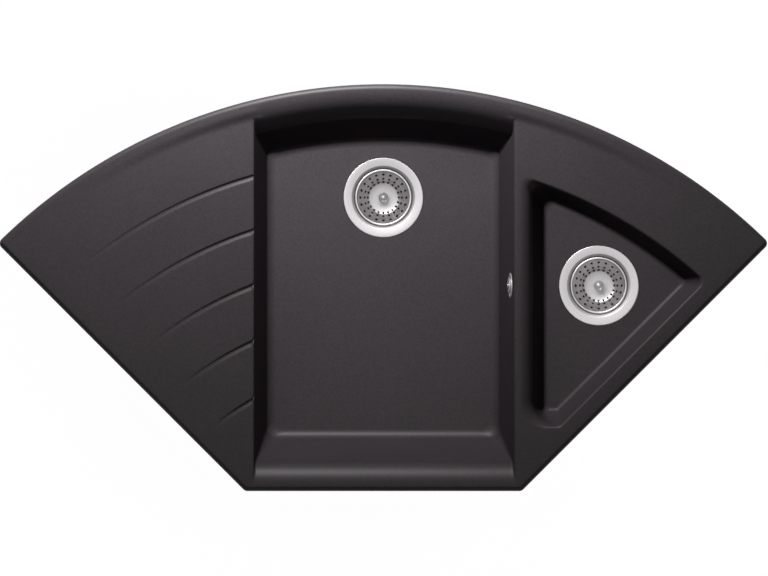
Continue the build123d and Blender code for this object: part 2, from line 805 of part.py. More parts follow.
waste_places = [Pos(0, main_waste_y, main_floor), Pos(small_waste_x, small_waste_y, small_floor)]
save("union_nuts", Compound(children=[place * union_nut() for place in waste_places]))
save("union_washers", Compound(children=[
    place * tube(outlet_thread_radius, pipe_radius - pipe_wall, -collar_top, -body_end)
    for place in waste_places]))

link_run = Vector(small_waste_x, small_waste_y - main_waste_y)
link_dir = link_run.normalized()
link_turn = math.degrees(math.atan2(link_dir.Y, link_dir.X))
main_axis = Vector(0, main_waste_y, branch_z)
link_top = Vector(small_waste_x, small_waste_y, small_floor - collar_top)
link_line = FilletPolyline(
    [link_top, Vector(small_waste_x, small_waste_y, branch_z),
     main_axis + link_dir * (socket_stop + pipe_end_gap)], radius=link_bend_radius)
link_section = Circle(pipe_radius) - Circle(pipe_radius - pipe_wall)
link_pipe = sweep(Plane(origin=link_top, z_dir=(0, 0, -1)) * link_section, path=link_line)
link_pipe += tube(outlet_thread_radius, pipe_radius - pipe_wall, link_top.Z - collar_height,
                  link_top.Z, small_waste_x, small_waste_y)
save("link_pipe", link_pipe)


def across(shape):
    # a shape that stands on its base, laid along the branch towards the small waste
    return Pos(0, main_waste_y, branch_z) * Rot(0, 0, link_turn) * Rot(0, 90, 0) * shape


def waste_tee():
    top = main_floor - collar_top
    foot = branch_z - tail_length
    bore = pipe_radius - pipe_wall
    pipe = rod(pipe_radius, foot, top, 0, main_waste_y)
    pipe += rod(outlet_thread_radius, top - collar_height, top, 0, main_waste_y)
    stop = foot + tail_grip
    pipe += rod(pipe_radius + tail_stop_rise, stop, stop + tail_stop_height, 0, main_waste_y)
    pipe += across(rod(socket_radius, 0, socket_length))
    pipe -= rod(bore, foot, top, 0, main_waste_y)
    pipe -= across(rod(bore, 0, socket_stop))
    return pipe - across(rod(pipe_radius + fit_gap, socket_stop, socket_length))


save("waste_tee", waste_tee())
nut_start = socket_length - slip_nut_overlap
washer_end = socket_length + slip_washer_thickness
slip_nut = tube(union_nut_radius, socket_radius + thread_gap, nut_start, washer_end)
slip_nut += tube(union_nut_radius, pipe_radius + thread_gap, washer_end, nut_start + slip_nut_length
                 + slip_washer_thickness)
slip_nut += [Pos(0, 0, nut_start) * rib for rib in
             grip_ribs(union_nut_radius, slip_nut_length + slip_washer_thickness)]
save("slip_nut", across(slip_nut))
save("slip_washer", across(tube(socket_radius, pipe_radius + fit_gap, socket_length, washer_end)))


# ---- rim clips: inserts in the bosses, screws, and the clips that swing about them

clip_bar_top = -worktop_thickness - clip_tip_height
clip_bar_foot = clip_bar_top - clip_sheet


def rim_clip():
    # along +X out over the worktop, about the screw's axis
    length = clip_reach + clip_heel
    middle = (clip_reach - clip_heel) / 2
    bar = Pos(middle, 0, clip_bar_foot) * Box(length, clip_width, clip_sheet,
                                              align=(Align.CENTER, Align.CENTER, Align.MIN))
    tip = Pos(clip_reach - clip_sheet / 2, 0, clip_bar_foot) * Box(
        clip_sheet, clip_width, clip_sheet + clip_tip_height - 0.3,
        align=(Align.CENTER, Align.CENTER, Align.MIN))
    heel = Pos(-clip_heel + clip_sheet / 2, 0, clip_bar_foot) * Box(
        clip_sheet, clip_width, -clip_heel_gap - clip_bar_foot,
        align=(Align.CENTER, Align.CENTER, Align.MIN))
    return bar + tip + heel - rod(clip_screw_radius + clip_bore_gap, clip_bar_foot - 1, clip_bar_top + 1)


def clip_screw():
    head_top = clip_bar_foot - clip_bore_gap
    head = extrude(Pos(0, 0, head_top - clip_screw_head_height)
                   * RegularPolygon(clip_screw_head_radius, 6), clip_screw_head_height)
    return head + rod(clip_screw_radius, head_top, insert_length - boss_height - clip_screw_end_gap)


inserts, screws = [], []
for number, (x, y, outwards) in enumerate(clip_places(), 1):
    inserts.append(tube(insert_radius, clip_screw_radius, -boss_height, insert_length - boss_height, x, y))
    screws.append(Pos(x, y) * clip_screw())
    save(f"rim_clip_{number}", Pos(x, y) * Rot(0, 0, outwards) * rim_clip())
save("clip_inserts", Compound(children=inserts))
save("clip_screws", Compound(children=screws))

os.makedirs("parts", exist_ok=True)
for name, shape in pieces.items():
    export_step(shape, f"parts/{name}.step")
print(len(pieces), "nodes written")
print("outlet axis", tuple(round(v, 3) for v in main_axis), "foot", round(branch_z - tail_length, 3))
print("hose from", hose_start, "by", hose_corner, "to", hose_end, "length", round(hose_line.length, 1))
for number, place in enumerate(clip_places(), 1):
    print("clip", number, tuple(round(v, 4) for v in place))
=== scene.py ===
import json
import math

import bmesh
import bpy
import numpy as np
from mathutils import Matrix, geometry

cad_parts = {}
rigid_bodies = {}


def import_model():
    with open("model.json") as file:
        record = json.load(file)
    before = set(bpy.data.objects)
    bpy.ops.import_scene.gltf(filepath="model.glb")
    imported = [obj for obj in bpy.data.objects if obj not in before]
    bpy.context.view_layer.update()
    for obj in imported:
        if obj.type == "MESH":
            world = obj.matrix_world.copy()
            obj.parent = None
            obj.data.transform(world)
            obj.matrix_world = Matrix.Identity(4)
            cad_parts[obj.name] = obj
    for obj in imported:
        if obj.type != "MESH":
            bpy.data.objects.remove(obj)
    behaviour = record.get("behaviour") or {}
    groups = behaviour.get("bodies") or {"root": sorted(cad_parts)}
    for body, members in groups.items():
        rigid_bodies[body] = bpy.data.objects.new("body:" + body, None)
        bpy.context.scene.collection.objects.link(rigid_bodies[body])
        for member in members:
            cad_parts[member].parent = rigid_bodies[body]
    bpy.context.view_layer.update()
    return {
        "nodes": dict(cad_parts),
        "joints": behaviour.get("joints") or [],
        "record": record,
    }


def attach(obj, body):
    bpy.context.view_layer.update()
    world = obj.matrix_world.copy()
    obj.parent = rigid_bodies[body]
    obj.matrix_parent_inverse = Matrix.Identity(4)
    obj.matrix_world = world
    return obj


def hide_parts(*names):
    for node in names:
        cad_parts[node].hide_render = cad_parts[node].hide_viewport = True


# Corner kitchen sink seen from above. Everything is worked out in millimetres and stored in
# metres. +Z is up, the user stands at -Y, and the arc lies at +Y.
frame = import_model()
nodes = frame["nodes"]
mm = 0.001


def smoothStep(t):
    # 0 below 0, 1 above 1, and 3t^2 - 2t^3 between
    t = np.clip(t, 0.0, 1.0)
    return t * t * (3.0 - 2.0 * t)


def evenly(end, count):
    # even steps from 0, without the end
    return np.linspace(0, end, count, endpoint=False)


# The camera looks straight down from far off, as the photograph shows hardly any perspective.
# Its lens follows from the picture's width at the deck.
cameraSettings = {
    "height": 30.0, "pictureWidth": 1.070, "aim": (0.0009, -0.0005), "deck": 0.009,
    "sensor": 36.0, "clip": (0.05, 200.0),
}


def makeCamera(c):
    data = bpy.data.cameras.new("viewFromAbove")
    data.sensor_width = c["sensor"]
    data.lens = c["sensor"] * (c["height"] - c["deck"]) / c["pictureWidth"]
    data.clip_start, data.clip_end = c["clip"]
    camera = bpy.data.objects.new("viewFromAbove", data)
    camera.location = (*c["aim"], c["height"])
    bpy.context.scene.collection.objects.link(camera)
    bpy.context.scene.camera = camera
    print("camera height", c["height"], "lens", round(data.lens, 1))


class Shell:
    # Gathers points and faces of one closed surface; equal points are merged at the end.
    mergeDistance, sliver = 4e-6, 1e-7   # in metres

    def __init__(self):
        self.points, self.faces, self.count = [], [], 0

    def add(self, points, faces):
        self.points.append(np.asarray(points, float).reshape(-1, 3))
        self.faces += (np.asarray(faces) + self.count).tolist()
        self.count += len(self.points[-1])

    def grid(self, points, flip=False, keep=None):
        # points[row, column]: quads between neighbouring rows, each row closed to a loop
        rows, columns = points.shape[:2]
        left = np.arange(rows * columns).reshape(rows, columns)
        right = np.roll(left, -1, axis=1)
        quads = np.stack([left[:-1], right[:-1], right[1:], left[1:]], axis=-1)
        quads = (quads if keep is None else quads[keep]).reshape(-1, 4)
        self.add(points, quads[:, ::-1] if flip else quads)

    def fill(self, loops, height, inside=(), flip=False):
        # triangles between the outer loop and the loops in it, through the points inside
        flat = np.concatenate([*loops, np.reshape(inside, (-1, 2))])
        start, edges = 0, []
        for loop in loops:
            ids = np.arange(start, start + len(loop))
            edges.append(np.stack([ids, np.roll(ids, -1)], axis=1))
            start += len(loop)
        found = geometry.delaunay_2d_cdt(flat.tolist(), np.concatenate(edges).tolist(), [], 0, 1e-6)
        points = np.array(found[0], float)
        faces = np.array(found[2])
        middles = points[faces].mean(axis=1)
        within = insideLoop(middles, loops[0])
        for loop in loops[1:]:
            within &= ~insideLoop(middles, loop)
        faces = faces[within]
        a, b, c = (points[faces[:, n]] for n in range(3))
        turned = ((b - a)[:, 0] * (c - a)[:, 1] - (b - a)[:, 1] * (c - a)[:, 0]) < 0
        faces[turned] = faces[turned][:, ::-1]
        z = height(points[:, 0], points[:, 1]) if callable(height) else np.full(len(points), height)
        self.add(np.column_stack([points, z]), faces[:, ::-1] if flip else faces)

    def finish(self, name, body, material, replaced, sharp=35.0):
        data = bpy.data.meshes.new(name)
        data.from_pydata((np.concatenate(self.points) * mm).tolist(), [], self.faces)
        work = bmesh.new()
        work.from_mesh(data)
        bmesh.ops.remove_doubles(work, verts=work.verts, dist=self.mergeDistance)
        bmesh.ops.dissolve_degenerate(work, edges=work.edges, dist=self.sliver)
        bmesh.ops.recalc_face_normals(work, faces=work.faces)
        openEdges = sum(1 for edge in work.edges if len(edge.link_faces) != 2)
        work.to_mesh(data)
        work.free()
        data.shade_smooth()
        data.set_sharp_from_angle(angle=math.radians(sharp))
        piece = bpy.data.objects.new(name, data)
        bpy.context.scene.collection.objects.link(piece)
        data.materials.append(material)
        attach(piece, body)
        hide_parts(replaced)
        triangles = sum(len(face.vertices) - 2 for face in data.polygons)
        print(name, "triangles", triangles, "open edges", openEdges)


def insideLoop(points, loop):
    # a point is inside where a line from it crosses the loop an odd number of times
    a, b = loop[None], np.roll(loop, -1, axis=0)[None]
    x, y = points[:, :1], points[:, 1:2]
    crosses = (a[..., 1] > y) != (b[..., 1] > y)
    rise = np.where(crosses, b[..., 1] - a[..., 1], 1.0)
    where = a[..., 0] + (y - a[..., 1]) / rise * (b[..., 0] - a[..., 0])
    return (np.sum(crosses & (x < where), axis=1) % 2) == 1


def nearLoop(points, loop, margin):
    # inside the loop, or nearer to one of its edges than the margin
    edge = np.roll(loop, -1, axis=0) - loop
    along = ((points[:, None] - loop[None]) * edge[None]).sum(2) / np.maximum((edge ** 2).sum(1), 1e-9)
    along = np.clip(along, 0, 1)
    gap = np.linalg.norm(points[:, None] - (loop[None] + along[..., None] * edge[None]), axis=2).min(1)
    return insideLoop(points, loop) | (gap < margin)


def onCircle(centre, radius, angle):
    # centre plus radius times (cosine, sine)
    return np.stack([centre[0] + radius * np.cos(angle), centre[1] + radius * np.sin(angle)], axis=-1)


def circleLoop(x, y, radius, count):
    return onCircle((x, y), radius, evenly(2 * math.pi, count))


def stackLoops(steps):
    # rows of points from pairs of a flat loop and its height
    return np.stack([np.column_stack([loop, np.full(len(loop), level)]) for loop, level in steps])


# Plan of the moulding: a sector around (0, arcY), cut off straight towards the user. The roll
# and the grooves follow circles around the same centre. Roll and groove ends are in degrees.
plan = {
    "frontY": -283.5, "halfFront": 192.75, "arcY": -480.25, "arcRadius": 763.75,
    "cornerRadius": 8.0, "leastRadius": 1.0, "deck": 9.0, "edgeRadius": 7.2, "edgeSteps": 15,
    "outlineSteps": (26, 7, 64, 10, 150),   # front, near corner, side, tip, arc
    "bulge": 0.1,
    "crest": 13.4, "crestInset": 7.6, "rollHead": 11.5, "rollFoot": 30.5, "rollFull": 11.0,
    "rollEnd": 38.5, "slopeInset": 1.5, "slopeBlend": 13.0,
    "grooveFirst": 660.4, "groovePitch": 72.3, "grooves": 5, "grooveEnd": 39.2,
    "grooveOuter": 3.4, "grooveInner": 5.4, "grooveDepth": 2.3, "grooveOverrun": 6.0,
    "sealOuter": 3.0, "sealInner": 12.0, "sealDepth": 1.5,
}
arcY, arcRadius, frontY = plan["arcY"], plan["arcRadius"], plan["frontY"]


def sideX(y, inset):
    # the 45 degree side, set in
    return plan["halfFront"] - inset * math.sqrt(2) + (y - frontY)


def sideMeetsArc(inset, radius):
    # where that side reaches a circle around the centre of the arc
    fromX = sideX(frontY, inset)
    fromY = frontY - arcY
    half = (fromX + fromY) / 2
    run = -half + np.sqrt(half * half - (fromX * fromX + fromY * fromY - radius * radius) / 2)
    return fromX + run, frontY + run


def sideBulge(share, height):
    # a slight parabola outwards: on a quite straight 45 degree side the triangles get slivers
    return height * 4 * share * (1 - share) * np.array([math.sqrt(0.5), -math.sqrt(0.5)])


def sectorLoop(inset):
    # the outline set in, with its corners rounded: right half, then the left half mirrored
    r = max(plan["cornerRadius"] - inset, plan["leastRadius"])
    nearY = frontY + inset + r
    tip = sideMeetsArc(inset + r, arcRadius - inset - r)
    tipTurn = math.atan2(tip[1] - arcY, tip[0])
    frontCount, nearCount, sideCount, tipCount, arcCount = plan["outlineSteps"]
    nearArc = onCircle((sideX(nearY, inset + r), nearY), r, np.radians(np.linspace(-90, -45, nearCount)))
    tipArc = onCircle(tip, r, np.linspace(-math.pi / 4, tipTurn, tipCount))
    across = np.linspace(0, 1, frontCount)[:, None]
    along = np.linspace(0, 1, sideCount)[:, None]
    front = np.array([0.0, frontY + inset]) * (1 - across) + nearArc[0] * across
    side = nearArc[-1] * (1 - along) + tipArc[0] * along + sideBulge(along, plan["bulge"])
    arc = onCircle((0.0, arcY), arcRadius - inset, np.linspace(tipTurn, math.pi / 2, arcCount))
    half = np.vstack([front[:-1], nearArc, side[1:-1], tipArc, arc[1:]])
    mirrored = (half * [-1, 1])[::-1][1:-1]
    return np.vstack([half, mirrored])


def arcAngle(x, y):
    return np.degrees(np.arctan2(x, y - arcY))


def rollShare(x, y):
    # how much of the roll's height is there, around the arc
    angle = np.abs(arcAngle(x, y))
    return smoothStep((plan["rollEnd"] - angle) / (plan["rollEnd"] - plan["rollFull"]))


def deckHeight(x, y):
    # Deck plus roll minus grooves. Over the decks the roll falls in an S from its crest to its
    # foot, and behind the main bowl it is one round slope into the bowl. A groove is (1 - q^2)^2
    # across, with q from -1 to 1, and along it the depth fades to its end.
    radius = np.hypot(x, y - arcY)
    rise = (plan["crest"] - plan["deck"]) * rollShare(x, y)
    inset = arcRadius - radius
    fall = np.clip((plan["rollFoot"] - inset) / (plan["rollFoot"] - plan["rollHead"]), 0.0, 1.0)
    z = plan["deck"] + rise * fall ** 3 * (10 - 15 * fall + 6 * fall * fall)
    left, right, edge = mainBowl["left"], mainBowl["right"], mainBowl["edge"]["back"]
    away = np.clip(mainBowl["back"] + edge * edgeLead - radius, 0.0, edge)
    slope = plan["crest"] - edge + np.sqrt(edge * edge - away * away)
    within = (smoothStep((x - left - plan["slopeInset"]) / plan["slopeBlend"])
              * smoothStep((right - plan["slopeInset"] - x) / plan["slopeBlend"]))
    z = z + within * (np.maximum(slope, plan["deck"]) - z)
    for n in range(plan["grooves"]):
        middle = plan["grooveFirst"] - plan["groovePitch"] * n
        first = math.degrees(math.asin(-left / middle))
        run = np.clip((-arcAngle(x, y) - first) / (plan["grooveEnd"] - first), -1.0, 1.0)
        depth = plan["grooveDepth"] * np.minimum(1 - run, 1.0)
        across = radius - middle
        half = np.where(across > 0, plan["grooveOuter"], plan["grooveInner"])
        q = np.clip(across / half, -1, 1)
        z = z - np.where(x < left + plan["grooveOverrun"], depth, 0.0) * (1 - q * q) ** 2
    return z


# The bowls are level rings from the deck down to the floor. Each side has its own edge
# rounding, lean in degrees and height at the top, and each corner its radius at the top and at
# the floor, in the order left front, right front, right back, left back.
edgeLead = math.sin(math.radians(8.0))   # a rounding begins this share of its radius before the edge
mainBowl = {
    "left": -182.6, "right": 185.5, "front": -270.8, "back": 751.7, "floor": -181.0, "foot": 14.0,
    "edge": {"left": 3.0, "right": 4.0, "front": 32.0, "back": 42.0},
    "draft": {"left": 5.4, "right": 6.4, "front": 12.0, "back": 9.6},
    "top": {"left": 9.0, "right": 9.0, "front": 9.0, "back": 13.4},
    "corners": ((3.0, 15.0), (3.5, 15.0), (3.0, 9.0), (2.5, 9.0)),
    "waste": (0.0, 126.4), "leftEnd": 737.1, "rightEnd": 225.0,   # about where both sides end
}
smallBowl = {
    "left": 191.5, "side": 23.6, "front": -196.3, "back": 665.6, "floor": -131.0, "foot": 7.0,
    "edge": {"left": 20.0, "side": 3.6, "front": 3.6, "back": 3.6},
    "draft": {"left": 7.2, "side": 6.3, "front": 8.5, "back": 6.2},
    "top": {"left": 9.0, "side": 9.0, "front": 9.0, "back": 9.0},
    "corners": ((35.0, 6.0), (11.0, 4.0), (12.0, 8.0), (12.0, 11.0)),
    "waste": (301.6, 3.0),
}
bowls = {"main": mainBowl, "small": smallBowl}
wasteCentres = {name: (*bowl["waste"], bowl["floor"]) for name, bowl in bowls.items()}
walls = {
    "thickness": 7.0, "floorThickness": 8.0, "bulge": 0.12, "notchReach": 8.0,
    "cornerSteps": 10, "frontSteps": 44, "backSteps": 72, "innerFoot": 11, "outerFoot": 9,
    "depths": [0, .03, .1, .2, .34, .52, .75, 1.05, 1.4, 1.8, 2.3, 2.9, 3.6, 4.5, 5.8, 7.5, 9.5,
               12, 15, 18.5],
    "straightBelow": 20, "straightSteps": 16, "outerSteps": 26,
}


def wallOffset(bowl, side, z, skin=0.0):
    # How far in from its edge a wall is at a height: edge rounding, straight wall, floor
    # rounding. With a skin it is the outside of the wall.
    edge, lean = bowl["edge"][side], math.radians(bowl["draft"][side])
    floor = bowl["floor"] - (walls["floorThickness"] if skin else 0.0)
    radius, footRadius = edge - skin, bowl["foot"] + skin
    start, middle = -edge * edgeLead, bowl["top"][side] - edge
    wallTop = middle + radius * math.sin(lean)
    wallTopU = start + radius * math.cos(lean)
    rounded = start + np.sqrt(np.maximum(radius * radius - (z - middle) ** 2, 0.0))
    straight = wallTopU + (wallTop - z) * math.tan(lean)
    footTop = floor + footRadius * (1 - math.sin(lean))
    footU = wallTopU + (wallTop - footTop) * math.tan(lean) + footRadius * math.cos(lean)
    drop = np.clip(z - floor - footRadius, -footRadius, 0.0)
    curved = footU - np.sqrt(np.maximum(footRadius ** 2 - drop ** 2, 0.0))
    u = np.where(z < footTop, curved, straight)
    return np.where((z > wallTop) & (radius > 0), rounded, u)


def turnArc(centre, radius, start, end):
    # rows of points around a corner, without its end
    share = evenly(1, walls["cornerSteps"])[None, :]
    return onCircle(centre, radius, start + (end - start) * share)


def straightRun(first, last, shares):
    # (1 - t) times the first point plus t times the last
    t = shares[None, :, None]
    return first * (1 - t) + last * t


def underArc(x, radius):
    # the point with this x on a circle around the centre of the arc
    return x, arcY + np.sqrt(radius ** 2 - x ** 2)


def bowlRings(bowl, levels, skin=0.0):
    # level rings, counter-clockwise from the top of the left side: left, front, right, back
    z, deck = levels[:, None], bowl["top"]["left"]
    down = smoothStep((deck - z) / (deck - bowl["floor"]))
    corners = [a + (b - a) * down + skin * (1 - down) for a, b in bowl["corners"]]
    left = bowl["left"] + wallOffset(bowl, "left", z, skin)
    front = bowl["front"] + wallOffset(bowl, "front", z, skin)
    back = bowl["back"] - wallOffset(bowl, "back", z, skin)
    low = (left + corners[0], front + corners[0])
    nearY = front + corners[1]
    if "right" in bowl:
        right = bowl["right"] - wallOffset(bowl, "right", z, skin)
        near = (right - corners[1], nearY)
        far = underArc(right - corners[2], back - corners[2])
        facing = 0.0
    else:
        inset = bowl["side"] + wallOffset(bowl, "side", z, skin)
        near = (sideX(nearY, inset + corners[1]), nearY)
        far = sideMeetsArc(inset + corners[2], back - corners[2])
        facing = -math.pi / 4
    home = underArc(left + corners[3], back - corners[3])
    farTurn = np.arctan2(far[1] - arcY, far[0])
    homeTurn = np.arctan2(home[1] - arcY, home[0])

    leftRun = straightRun(onCircle(home, corners[3], math.pi), onCircle(low, corners[0], math.pi),
                          bowl["leftShares"])
    frontRun = straightRun(onCircle(low, corners[0], -math.pi / 2),
                           onCircle(near, corners[1], -math.pi / 2), evenly(1, walls["frontSteps"]))
    rightRun = straightRun(onCircle(near, corners[1], facing), onCircle(far, corners[2], facing),
                           bowl["rightShares"])
    if facing:
        rightRun = rightRun + sideBulge(bowl["rightShares"][:, None], walls["bulge"])
    share = evenly(1, walls["backSteps"])[None, :]
    backRun = onCircle((0.0, arcY), back, farTurn + (homeTurn - farTurn) * share)
    flat = np.concatenate([
        leftRun, turnArc(low, corners[0], math.pi, math.pi * 1.5),
        frontRun, turnArc(near, corners[1], -math.pi / 2, facing),
        rightRun, turnArc(far, corners[2], facing, farTurn),
        backRun, turnArc(home, corners[3], homeTurn, math.pi)], axis=1)
    rings = np.dstack([flat, np.broadcast_to(z, flat.shape[:2])])
    if not skin:
        # the first ring lies on the deck, and the grooves run over the edge into the bowl
        notch = deckHeight(rings[0, :, 0], rings[0, :, 1]) - deck
        rings[:, :, 2] += notch * np.clip(1 - (deck - z) / walls["notchReach"], 0.0, 1.0) ** 2
    return rings


def footLevels(floor, foot, count):
    # heights of the rings in a floor rounding
    return floor + foot * (1 - np.cos(np.linspace(math.pi / 2 - .05, 0, count)))


def levelsDown(bowl):
    # heights of the rings inside: close together in both roundings and wider on the wall
    low = footLevels(bowl["floor"], bowl["foot"], walls["innerFoot"])
    top = bowl["top"]["left"]
    middle = np.linspace(top - walls["straightBelow"], low[0] + 2, walls["straightSteps"])
    return np.concatenate([top - np.array(walls["depths"]), middle, low])


def levelsOutside(bowl):
    low = footLevels(bowl["floor"] - walls["floorThickness"], bowl["foot"] + walls["thickness"],
                     walls["outerFoot"])
    return np.concatenate([np.linspace(0, low[0] + 2, walls["outerSteps"]), low])


def leftShares(bowl, steps=46, reach=5.2, closeSteps=15):
    # along the left side: even steps, and close ones where the grooves cross the edge
    x = bowl["left"] - bowl["edge"]["left"] * edgeLead
    top = underArc(x, bowl["leftEnd"])[1]
    grooves = plan["grooveFirst"] - plan["groovePitch"] * np.arange(plan["grooves"])
    crossings = underArc(x, grooves)[1]
    close = (crossings[:, None] + np.linspace(-reach, reach, closeSteps)[None, :]).ravel()
    shares = np.concatenate([evenly(1, steps), (top - close) / (top - bowl["front"])])
    return np.unique(np.round(shares[(shares >= 0) & (shares < 1)], 5))


# Overflow hole in the right-hand wall of the main bowl, with a square patch around it.
overflow = {
    "y": 3.0, "z": -33.0, "hole": 13.5, "halfPatch": 22.0, "patchSteps": 8,
    "rows": np.linspace(-55.0, -11.0, 9), "nearWall": 30.0,
}


def overflowShares():
    # shares along the right-hand side at which the patch around the hole begins and ends
    low = mainBowl["front"] + mainBowl["edge"]["front"]
    y = overflow["y"] + np.linspace(-1, 1, overflow["patchSteps"] + 1) * overflow["halfPatch"]
    return (y - low) / (mainBowl["rightEnd"] - low)


def withPatchRows(levels):
    # the same rows beside the hole in both walls
    rows = overflow["rows"]
    apart = (levels > rows.max() + 1.0) | (levels < rows.min() - 1.0)
    return np.sort(np.concatenate([levels[apart], rows]))[::-1]


def overflowHole(shell, inner, outer, innerLevels, outerLevels):
    # in both walls a square patch is left out and filled between its border and a circle
    inset = float(wallOffset(mainBowl, "right", overflow["z"]))
    centre = np.array([mainBowl["right"] - inset, overflow["y"], overflow["z"]])
    lean = math.radians(mainBowl["draft"]["right"])
    normal = np.array([-math.cos(lean), 0.0, math.sin(lean)])
    up = np.array([math.sin(lean), 0.0, math.cos(lean)])
    circles = []
    for grid, levels, sink, flip in ((inner, innerLevels, 0.0, False),
                                     (outer, outerLevels, walls["thickness"], True)):
        onWall = np.abs(grid[:, :, 0] - centre[0]) < overflow["nearWall"]
        row = np.argmin(np.abs(levels - overflow["z"]))
        away = np.where(onWall[row], np.abs(grid[row, :, 1] - overflow["y"]), np.inf)
        top = np.argmin(np.abs(levels - overflow["rows"].max()))
        low = np.argmin(np.abs(levels - overflow["rows"].min()))
        half = overflow["patchSteps"] // 2 + 1
        first, last = np.argmin(away) - half, np.argmin(away) + half
        keep = np.ones((grid.shape[0] - 1, grid.shape[1]), bool)
        keep[top:low, first:last] = False
        shell.grid(grid, flip=flip, keep=keep)
        border = np.concatenate([grid[top, first:last], grid[top:low, last],
                                 grid[low, last:first:-1], grid[low:top:-1, first]])
        across = border - centre
        a, b = across[:, 1], across @ up
        length = np.hypot(a, b)[:, None]
        ring = (centre - normal * sink + overflow["hole"]
                * (a[:, None] * np.array([0, 1.0, 0]) + b[:, None] * up) / length)
        shell.grid(np.stack([border, (border + ring) / 2, ring]), flip=not flip)
        circles.append(ring)
    shell.grid(np.stack(circles), flip=True)


def outerEdge():
    # the vertical side, then a quarter circle up to the deck or to the crest of the roll
    base = sectorLoop(0.0)
    inwards = sectorLoop(1.0) - base
    onArc = smoothStep(np.hypot(base[:, 0], base[:, 1] - arcY) - arcRadius + 1.0)
    share = rollShare(base[:, 0], base[:, 1]) * onArc
    edge = plan["edgeRadius"] + (plan["crestInset"] - plan["edgeRadius"]) * share
    height = plan["deck"] + (plan["crest"] - plan["deck"]) * share
    turn = np.radians(np.linspace(0, 90, plan["edgeSteps"]))[:, None]
    rows = base[None] + inwards[None] * (edge * (1 - np.cos(turn)))[..., None]
    z = height - edge + edge * np.sin(turn)
    strip = np.concatenate([rows, z[..., None]], axis=2)
    strip[-1, :, 2] = deckHeight(strip[-1, :, 0], strip[-1, :, 1])
    return np.concatenate([stackLoops([(base, 0.0)]), strip])


# Points of the deck lie on circles around the centre of the arc, close together across grooves
# and roll. Turns are (start, end, step) in degrees.
deckGrid = {
    "acrossGroove": [-6.6, -5.4, -4.6, -3.8, -3.0, -2.2, -1.4, -.7, 0, .6, 1.2, 1.8, 2.4, 2.9, 3.4, 4.6],
    "grooveTurn": (-41, -14, 0.45), "rollStep": 1.4, "rollInsets": (34, 37.0), "rollTurn": (-44, 44, 0.4),
    "deckRadii": (210, 722, 22), "deckTurn": (-44, 44, 1.6),
    "crestInsets": [6.8, 8.2], "crestTurn": (-44.4, 44.4, 0.5),
    "edgeMargin": 1.2, "arcMargin": 1.0, "bowlMargin": 1.1,
}


def deckPoints(rings):
    g = deckGrid
    step, (rollEnd, rollLast) = g["rollStep"], g["rollInsets"]
    roll = np.concatenate([np.arange(plan["crestInset"] + step, rollEnd, step), [rollLast]])
    arcs = [(plan["grooveFirst"] - plan["groovePitch"] * n + np.array(g["acrossGroove"]), g["grooveTurn"])
            for n in range(plan["grooves"])]
    arcs += [(arcRadius - roll, g["rollTurn"]), (np.arange(*g["deckRadii"]), g["deckTurn"]),
             (arcRadius - np.array(g["crestInsets"]), g["crestTurn"])]
    points = []
    for radii, turn in arcs:
        r, a = np.meshgrid(radii, np.radians(np.arange(*turn)), indexing="ij")
        points.append(np.column_stack([(r * np.sin(a)).ravel(), (arcY + r * np.cos(a)).ravel()]))
    points = np.concatenate(points)
    x, y = points.T
    sideInset = (sideX(y, 0.0) - np.abs(x)) / math.sqrt(2)
    edge = plan["edgeRadius"] + (plan["crestInset"] - plan["edgeRadius"]) * rollShare(x, y)
    keep = sideInset > plan["edgeRadius"] + g["edgeMargin"]
    keep &= y > frontY + plan["edgeRadius"] + g["edgeMargin"]
    keep &= np.hypot(x, y - arcY) < arcRadius - edge - g["arcMargin"]
    for inner, _ in rings:
        keep &= ~nearLoop(points, inner[0, :, :2], g["bowlMargin"])
    return points[keep]


# Recess and hole of each waste, and the bosses for the clips' inserts, as (radius, height)
fixings = {
    "recess": 57.5, "recessDepth": 2.0, "wasteHole": 45.0, "wasteSteps": 72,
    "boss": [(9.0, 0.0), (9.0, -11.2), (8.2, -12.0), (4.2, -12.0), (4.2, -2.0)], "bossSteps": 32,
}


